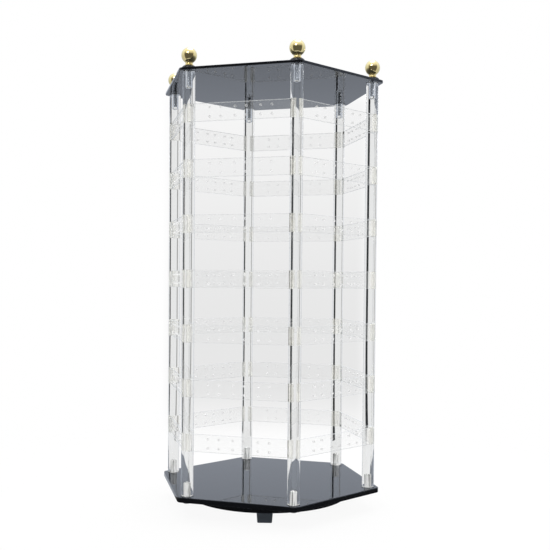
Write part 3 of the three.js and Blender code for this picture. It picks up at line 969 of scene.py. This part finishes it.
def makeWorld(s):
    # pale for rays from the camera, from gloss and through plastic; a plain soft level for all other light
    world = bpy.data.worlds.new("studio")
    scene.world = world
    world.use_nodes = True
    tree = world.node_tree
    way = tree.nodes.new("ShaderNodeTexCoord").outputs["Generated"]
    up = heightNode(tree, way)
    gloss = rangeNode(tree, up, *s["glossRise"], s["glossLow"], s["glossHigh"])
    crown = rangeNode(tree, up, *s["glossCrown"], 0.0, s["glossTop"] - s["glossHigh"])
    level, seen, inGloss = seenLevel(tree, backdropLevel(tree, way, s["backdrop"]), s["through"],
                                     mathNode(tree, "ADD", gloss, crown))
    rest = mathNode(tree, "MULTIPLY", mathNode(tree, "SUBTRACT", 1.0, seen), s["ambient"])
    feed(tree, tree.nodes["Background"], Strength=mathNode(tree, "ADD", level, rest),
         Color=mixColour(tree, inGloss, (1, 1, 1), s["glossCast"]))


def stageMaterial(name):
    material = bpy.data.materials.new(name)
    material.use_nodes = True
    material.node_tree.nodes.clear()
    return material, material.node_tree


def stageMesh(name, points, quads, material):
    mesh = bpy.data.meshes.new(name)
    mesh.from_pydata(points.tolist(), [], quads.tolist())
    mesh.materials.append(material)
    thing = bpy.data.objects.new(name, mesh)
    scene.collection.objects.link(thing)
    return thing


def onlySeenBy(thing, kinds):
    for kind in ("camera", "diffuse", "glossy", "transmission", "volume_scatter", "shadow"):
        setattr(thing, "visible_" + kind, kind in kinds)


def sweptSection(section, low, high, steps):
    # a section (distance, height) carried round the upright axis from one bearing to another
    a = np.radians(np.linspace(low, high, steps))[None, :]
    r, z = section[:, 0:1], section[:, 1:2]
    points = np.stack([r * np.cos(a), r * np.sin(a), z + 0 * a], -1).reshape(-1, 3)
    return points, gridQuads(len(section), steps, wrapColumns=False)


def makeFloor(s):
    # flat rings that fade out with distance; the paint glows for the eye, and the lamps' light keeps the shadow
    material, tree = stageMaterial("paleFloor")
    matte = addNode(tree, "ShaderNodeBsdfDiffuse", Color=(s["floorColour"],) * 3 + (1.0,))
    level, seen, inGloss = seenLevel(tree, s["floorEye"], s["through"], s["glossLow"])
    cast = mixColour(tree, inGloss, (1, 1, 1), s["glossCast"])
    glow = addNode(tree, "ShaderNodeEmission", Color=cast, Strength=level)
    lit = addNode(tree, "ShaderNodeMixShader", i0=mathNode(tree, "MULTIPLY", seen, s["floorGlow"]),
                  i1=matte.outputs[0], i2=glow.outputs[0])
    place = tree.nodes.new("ShaderNodeTexCoord").outputs["Object"]
    away = vectorNode(tree, "LENGTH", place).outputs["Value"]
    gone = addNode(tree, "ShaderNodeBsdfTransparent")
    mix = addNode(tree, "ShaderNodeMixShader", i0=rangeNode(tree, away, *s["floorFade"]),
                  i1=lit.outputs[0], i2=gone.outputs[0])
    addNode(tree, "ShaderNodeOutputMaterial", Surface=mix.outputs[0])
    radii = np.geomspace(*s["floorRadii"], s["floorRings"])
    points, quads = sweptSection(np.column_stack([radii, 0 * radii]), 0, 360, s["floorAround"])
    stageMesh("floor", points, quads, material)


def plainPaint(name, level):
    material, tree = stageMaterial(name)
    colour = [level * tint for tint in studio["paintTint"]]
    paint = addNode(tree, "ShaderNodeEmission", Color=(*colour, 1.0), Strength=1.0)
    addNode(tree, "ShaderNodeOutputMaterial", Surface=paint.outputs[0])
    return material


def roomPaint(s):
    # dark in the middle, lighter towards the upper rim and both ends
    material, tree = stageMaterial("roomShade")
    place = tree.nodes.new("ShaderNodeTexCoord").outputs["Object"]
    flat = vectorNode(tree, "NORMALIZE", vectorNode(tree, "MULTIPLY", place, (1, 1, 0)).outputs[0]).outputs[0]
    b = math.radians(s["bearing"])
    near = vectorNode(tree, "DOT_PRODUCT", flat, (math.cos(b), math.sin(b), 0)).outputs["Value"]
    wide = math.cos(math.radians(s["halfSweep"]))
    core = math.cos(math.radians(s["halfSweep"] - s["soft"]))
    ends = rangeNode(tree, near, wide, core, 1.0, 0.0)
    share = mathNode(tree, "MAXIMUM", ends, rangeNode(tree, heightNode(tree, place), *s["rise"]))
    colour = mixColour(tree, share, (s["shade"],) * 3, (s["rim"],) * 3)
    paint = addNode(tree, "ShaderNodeEmission", Color=colour, Strength=1.0)
    addNode(tree, "ShaderNodeOutputMaterial", Surface=paint.outputs[0])
    return material


def makeDarkRoom(s):
    # the unlit room behind the camera, for gloss only, and a dark sheet of painted shade over the floor close
    # to the turntable
    low, high = s["bearing"] - s["halfSweep"], s["bearing"] + s["halfSweep"]
    far = softProfile(s["section"], s["sectionSoft"], s["sectionSteps"])
    points, quads = sweptSection(far, low, high, s["around"])
    onlySeenBy(stageMesh("darkRoom", points, quads, roomPaint(s)), ("glossy",))
    near = np.array(s["nearSection"])
    points, quads = sweptSection(near, low - s["nearMore"], high + s["nearMore"], s["around"])
    onlySeenBy(stageMesh("nearShade", points, quads, plainPaint("floorShade", s["nearShade"])), ("glossy",))


def makeFlags(s):
    # tall narrow cards far behind, each with a strip along the floor, seen only through the rods: they draw the
    # dark lines in them; they come again a third of a turn on for other views
    section = softProfile(s["section"], s["soft"])
    for side in ("right", "left"):
        bearing, halfWidth, level = s[side]
        paint = plainPaint("flagCard_" + side, level)
        for i in range(s["repeat"]):
            middle = bearing + i * 360 / s["repeat"]
            points, quads = sweptSection(section, middle - halfWidth, middle + halfWidth, s["around"])
            onlySeenBy(stageMesh(f"flag_{side}_{i + 1}", points, quads, paint), ("transmission",))


def makeLamps(s):
    for name, (place, size, power) in s["lamps"].items():
        data = bpy.data.lights.new(name, "AREA")
        data.shape, data.size, data.energy = "DISK", size, power
        lamp = bpy.data.objects.new(name, data)
        scene.collection.objects.link(lamp)
        lamp.location = place
        lamp.rotation_mode = "QUATERNION"
        lamp.rotation_quaternion = (Vector(s["lampAim"]) - Vector(place)).to_track_quat("-Z", "Y")
        lamp.visible_glossy = name not in s["unseenLamps"]


makeWorld(studio)
makeFloor(studio)
makeDarkRoom(studio["room"])
makeFlags(studio["flags"])
makeLamps(studio)
scene.view_settings.view_transform = "Standard"
scene.cycles.max_bounces = 24
scene.cycles.transmission_bounces = 24
scene.cycles.transparent_max_bounces = 32
print("studio set")
